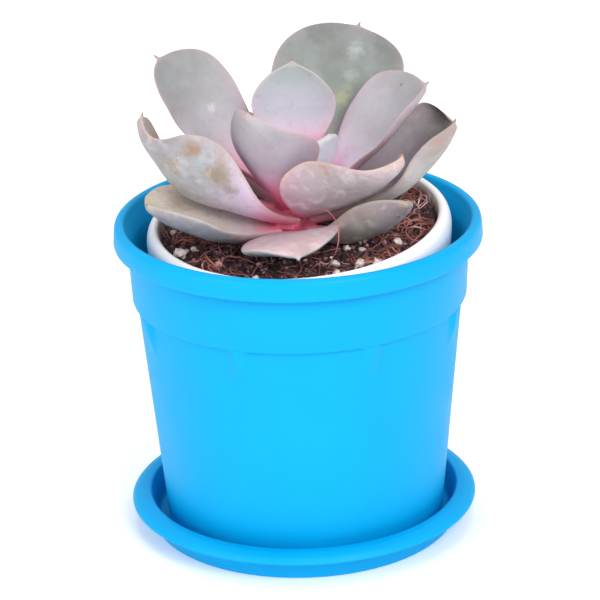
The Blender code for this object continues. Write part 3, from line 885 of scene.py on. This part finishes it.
def blade_mesh(leaf, seed):
    """A leaf from a flat sheet whose long way runs along the leaf and whose short way wraps round it."""
    bm = bmesh.new()
    bmesh.ops.create_grid(bm, x_segments=110, y_segments=56, size=0.5)
    layers = {name: bm.verts.layers.float.new(name) for name in ("along", "edge", "face")}
    wave = bpy.context.scene.succulent_plant.waviness / MM
    midrib = Midrib(leaf)
    for vert in bm.verts:
        sheet = vert.co.x + 0.5
        share = -0.06 + 1.06 * (sheet + 0.07 * math.sin(2 * math.pi * sheet) * (1 - sheet))
        turn = 2 * math.pi * (vert.co.y + 0.5)
        point, half = skin_point(leaf, midrib, share, turn)
        _, _, out = midrib.frame(share)
        ripple = wave * smooth_step(share / 0.4) * abs(math.cos(turn)) ** 3
        ripple *= noise.noise(Vector((share * leaf.length / 11, math.cos(turn) * 1.5, seed)))
        dent = 0.25 * noise.noise(Vector((share * leaf.length / 9, half * math.cos(turn) / 9, seed + 5)))
        vert.co = point + out * (2 * ripple + dent * smooth_step(share / 0.3))
        vert[layers["along"]] = share
        vert[layers["face"]] = math.sin(turn)
        to_side = half * (1 - abs(math.cos(turn)))
        vert[layers["edge"]] = min(to_side, max(1 - MUCRO_SHARE - share, 0) * leaf.length)
    bmesh.ops.remove_doubles(bm, verts=bm.verts, dist=0.002)
    bmesh.ops.holes_fill(bm, edges=bm.edges, sides=0)
    bmesh.ops.recalc_face_normals(bm, faces=bm.faces)
    return bm


def tip_to_base(tree, along, colours):
    """Colour that runs from a leaf's tip through its middle to its base."""
    tip, middle, base = (hex_colour(code) for code in colours)
    lower = add_node(tree, "Mix", add_node(tree, "MapRange", along, 0.12, 0.55), base, middle)
    return add_node(tree, "Mix", add_node(tree, "MapRange", along, 0.5, 0.95), lower, tip)


def bloomed(tree, place, body, bloom, wear):
    """The body colour under its wax bloom: hazed, rubbed in small patches and flecked with lime."""
    haze = add_node(tree, "MapRange", bloom, 0, 1, 0.0, 0.12)
    body = add_node(tree, "Mix", haze, body, hex_colour("cdd1d6"))
    patches = speckle(tree, place, 2.2, 0.5, 0.75, 5)
    rubbed = add_node(tree, "Math", patches, 0.15 + 0.3 * wear, operation="MULTIPLY")
    body = add_node(tree, "Mix", rubbed, body, hex_colour("8a797c"))
    flecks = speckle(tree, place, 3.5, 0.48, 0.72, 10)
    lime = add_node(tree, "Math", flecks, 0.5 * wear, operation="MULTIPLY")
    return add_node(tree, "Mix", lime, body, hex_colour("dcd8da"))


def corked(tree, place, body, along, scars):
    """Corky scars over the outer part of a leaf, crazed at a finer scale."""
    outer = add_node(tree, "MapRange", along, 0.3, 0.5)
    cork = add_node(tree, "Math", speckle(tree, place, 8, 0.5, 0.62, 3), outer, operation="MULTIPLY")
    cork = add_node(tree, "Math", cork, scars, operation="MULTIPLY")
    cork = add_node(tree, "Math", cork, speckle(tree, place, 1.1, 0.3, 0.6, 3), operation="MULTIPLY")
    return add_node(tree, "Mix", cork, body, tuple(bpy.context.scene.succulent_plant.cork))


def blemished(tree, place, body, name):
    """The leaf's own stains and scars, each with a ragged margin."""
    midrib = Midrib(LEAVES[name])
    for mark in (mark for mark in BLEMISHES if mark.leaf == name):
        turn = mark.face * math.acos(mark.across)
        centre, _ = skin_point(LEAVES[name], midrib, mark.along, turn)
        away = add_node(tree, "VectorMath", place, centre, operation="DISTANCE", output="Value")
        rough = speckle(tree, place, mark.size * 0.4, 0.1, 0.9, 6)
        ragged = add_node(tree, "Math", rough, mark.size * 0.8, operation="MULTIPLY")
        reach = add_node(tree, "Math", away, ragged, operation="ADD")
        spot = add_node(tree, "MapRange", reach, mark.size * 0.35, mark.size * 1.35, mark.strength, 0)
        body = add_node(tree, "Mix", spot, body, hex_colour(mark.colour))
    return body


def flushed(tree, body, along, edge, skin):
    """Pink along the margin and up from the base, with a pale rim and a dry brown tip."""
    near_edge = add_node(tree, "MapRange", edge, 0, 5, 0.25, 0)
    near_base = add_node(tree, "MapRange", along, 0.9, 0.2, 0.25, 1)
    flush = add_node(tree, "Math", near_edge, near_base, operation="MULTIPLY")
    body = add_node(tree, "Mix", flush, body, hex_colour("dca9b8"))
    base = add_node(tree, "MapRange", along, 0.04, skin.flush, 0.9, 0)
    body = add_node(tree, "Mix", base, body, tuple(bpy.context.scene.succulent_plant.leaf_base))
    rim = add_node(tree, "MapRange", edge, 0.1, 0.8, 0.6, 0)
    body = add_node(tree, "Mix", rim, body, hex_colour(skin.margin))
    return add_node(tree, "Mix", add_node(tree, "MapRange", along, 0.975, 0.995), body, hex_colour("8d6a5c"))


def leaf_skin(name, skin):
    """Fleshy leaf skin under a powdery wax bloom, which dulls it, greys it and rubs off in patches."""
    mat, tree, shader = new_material(f"waxy_skin_{name}", roughness=0.55, ior=1.4, subsurface_weight=0.12)
    shader.inputs["Subsurface Radius"].default_value = (0.004, 0.0018, 0.0016)
    shader.inputs["Subsurface Scale"].default_value = 0.6
    place = place_in_mm(tree)
    along, edge, face = (add_node(tree, "Attribute", attribute_name=key) for key in ("along", "edge", "face"))
    # The face colours from SKINS hold painted light and shade besides the leaf's own tones
    under, upper = tip_to_base(tree, along, skin.under), tip_to_base(tree, along, skin.upper)
    body = add_node(tree, "Mix", add_node(tree, "MapRange", face, -0.12, 0.12), under, upper)
    bloom = speckle(tree, place, 9, 0.3, 0.7, 4)
    body = bloomed(tree, place, body, bloom, skin.wear)
    body = corked(tree, place, body, along, skin.scars)
    body = blemished(tree, place, body, name)
    tree.links.new(flushed(tree, body, along, edge, skin), shader.inputs["Base Color"])
    tree.links.new(add_node(tree, "MapRange", bloom, 0, 1, 0.48, 0.66), shader.inputs["Roughness"])
    # Wax grains are a few micrometres across, too fine to show, so they are drawn 0.6 mm wide
    grain, swells = speckle(tree, place, 0.6, 0.2, 0.8, 3), speckle(tree, place, 5, 0.2, 0.8, 2)
    grain = add_node(tree, "Math", grain, swells, operation="ADD")
    tree.links.new(add_node(tree, "Bump", grain, 0.12, 0.25 * MM), shader.inputs["Normal"])
    return mat


class SUCCULENT_OT_leaves(bpy.types.Operator):
    """Grow every leaf of the rosette"""

    bl_idname = "succulent.leaves"
    bl_label = "Leaves"

    def execute(self, context):
        for i, (name, leaf) in enumerate(LEAVES.items()):
            bm = blade_mesh(leaf, i * 2.3)
            add_piece(f"{name}_finished", bm, leaf_skin(name, SKINS[name]), [name], 75)
        return {"FINISHED"}


def stub_body():
    """The dry end of a fallen leaf, which leans out of the mix beside the crown."""
    bm = bmesh.new()
    lean = Matrix.Rotation(math.radians(-40), 4, "Y")
    place = Matrix.Translation(mix_point(*STUB_PLACE, 2.2)) @ lean
    bmesh.ops.create_cone(bm, cap_ends=True, segments=16, radius1=1.9, radius2=0.9, depth=6.5, matrix=place)
    bmesh.ops.subdivide_edges(bm, edges=bm.edges, cuts=4, use_grid_fill=True)
    for vert in bm.verts:
        vert.co += noise.noise_vector(vert.co * 0.9) * 0.8
    return bm


def stem_skin():
    """Smooth stem tissue, flushed red where the leaves crowd together."""
    mat, tree, shader = new_material("flushed_stem_skin", roughness=0.45, ior=1.4, subsurface_weight=0.15)
    shader.inputs["Subsurface Radius"].default_value = (0.004, 0.0015, 0.0015)
    shader.inputs["Subsurface Scale"].default_value = 0.6
    place = place_in_mm(tree)
    stem = bpy.context.scene.succulent_plant.stem
    tint = add_node(tree, "Mix", speckle(tree, place, 4, 0.3, 0.7, 3), deeper(stem, 0.55), tuple(stem))
    tree.links.new(tint, shader.inputs["Base Color"])
    relief = add_node(tree, "Bump", speckle(tree, place, 1.0, 0.2, 0.8, 3), 0.3, 0.3 * MM)
    tree.links.new(relief, shader.inputs["Normal"])
    return mat


class SUCCULENT_OT_stem(bpy.types.Operator):
    """Build the short stem between the leaf bases"""

    bl_idname = "succulent.stem"
    bl_label = "Stem"

    def execute(self, context):
        foot, top = 80.0, STEM_TOP.z
        heights = [foot + (top - 1.5 - foot) * i / 30 for i in range(31)]
        profile = [(0, foot)] + [(stem_radius(z), z) for z in heights]
        profile += [(STEM_TOP_R * 0.8, top - 0.9), (STEM_TOP_R * 0.4, top - 0.3), (0, top)]
        bm = turned(profile, steps=40)
        for vert in bm.verts:
            centre = stem_point(max(vert.co.z, STEM_FOOT.z))
            # The crown swells between 98 and 121 mm up, where the leaves crowd together
            swell = 0.55 * smooth_step((vert.co.z - 98) / 4) * smooth_step((121 - vert.co.z) / 8)
            ring = 1 + swell + (0.06 + 0.5 * swell) * noise.noise(vert.co / 2.5)
            vert.co.x = vert.co.x * ring + centre.x
            vert.co.y = vert.co.y * ring + centre.y
        skin = stem_skin()
        add_piece("stem_finished", bm, skin, ["stem"])
        add_piece("withered_stub", stub_body(), skin)
        return {"FINISHED"}


# --------------------------------------------------------------------------- stage


CAMERA_PLACE = (0.0, -0.9531, 0.4507)
CAMERA_TILT = math.radians(90 - 21.42)
CAMERA_ROLL = math.radians(-1.68)
CAMERA_LENS = 186.4


def add_softbox(name, place, size, power, colour="ffffff"):
    """A square area light that faces the rosette."""
    data = bpy.data.lights.new(name, "AREA")
    data.energy, data.size, data.color = power, size, hex_colour(colour)[:3]
    lamp = bpy.data.objects.new(name, data)
    lamp.location = place
    lamp.rotation_euler = (Vector((0, 0, 0.09)) - Vector(place)).to_track_quat("-Z", "Y").to_euler()
    bpy.context.collection.objects.link(lamp)


class SUCCULENT_OT_stage(bpy.types.Operator):
    """Set the pale floor, the soft studio light and the camera"""

    bl_idname = "succulent.stage"
    bl_label = "Stage"

    def execute(self, context):
        bm = bmesh.new()
        bmesh.ops.create_grid(bm, x_segments=1, y_segments=1, size=6)
        mesh = bpy.data.meshes.new("pale_floor")
        bm.to_mesh(mesh)
        bm.free()
        white = hex_colour("fbfbfb")
        floor_mat, _, _ = new_material(
            "pale_floor", roughness=0.9, base_color=white, emission_color=white, emission_strength=0.12
        )
        mesh.materials.append(floor_mat)
        floor = bpy.data.objects.new("pale_floor", mesh)
        context.collection.objects.link(floor)

        world = bpy.data.worlds.new("studio_white")
        world.use_nodes = True
        world.node_tree.nodes["Background"].inputs["Color"].default_value = (1, 1, 1, 1)
        world.node_tree.nodes["Background"].inputs["Strength"].default_value = 0.68
        context.scene.world = world
        add_softbox("key_softbox", (0.45, -0.9, 0.75), 0.6, 9)
        add_softbox("fill_softbox", (-0.8, -0.7, 0.5), 0.7, 5)
        add_softbox("top_softbox", (0.0, 0.3, 1.2), 0.7, 4)

        data = bpy.data.cameras.new("studio_camera")
        data.sensor_width = 36
        data.lens = CAMERA_LENS
        data.dof.use_dof = False
        camera = bpy.data.objects.new("studio_camera", data)
        camera.matrix_world = (
            Matrix.Translation(CAMERA_PLACE) @ Matrix.Rotation(CAMERA_TILT, 4, "X")
            @ Matrix.Rotation(CAMERA_ROLL, 4, "Z")
        )
        context.collection.objects.link(camera)
        context.scene.camera = camera
        context.scene.view_settings.view_transform = "Standard"
        return {"FINISHED"}


class SUCCULENT_PT_panel(bpy.types.Panel):
    """The steps and the settings, in the 3D view's sidebar"""

    bl_idname = "SUCCULENT_PT_panel"
    bl_label = "Potted Succulent"
    bl_space_type = "VIEW_3D"
    bl_region_type = "UI"
    bl_category = "Succulent"

    def draw(self, context):
        layout = self.layout
        for group in SETTINGS:
            settings = getattr(context.scene, group)
            for key in settings.__annotations__:
                layout.prop(settings, key)
        for step in STEPS:
            layout.operator(step.bl_idname)


SETTINGS = {
    "succulent_plastic": PlasticSettings,
    "succulent_plant": PlantSettings,
    "succulent_mix": MixSettings,
}
STEPS = (
    SUCCULENT_OT_stage,
    SUCCULENT_OT_saucer,
    SUCCULENT_OT_planter,
    SUCCULENT_OT_nursery_pot,
    SUCCULENT_OT_potting_mix,
    SUCCULENT_OT_crumbs,
    SUCCULENT_OT_perlite,
    SUCCULENT_OT_fibres,
    SUCCULENT_OT_stem,
    SUCCULENT_OT_leaves,
)


def register():
    for cls in (*SETTINGS.values(), *STEPS, SUCCULENT_PT_panel):
        bpy.utils.register_class(cls)
    for key, group in SETTINGS.items():
        setattr(bpy.types.Scene, key, PointerProperty(type=group))


def unregister():
    for key in SETTINGS:
        delattr(bpy.types.Scene, key)
    for cls in reversed((*SETTINGS.values(), *STEPS, SUCCULENT_PT_panel)):
        bpy.utils.unregister_class(cls)


def main():
    register()
    for step in STEPS:
        group, name = step.bl_idname.split(".")
        getattr(getattr(bpy.ops, group), name)()


if __name__ == "__main__":
    main()
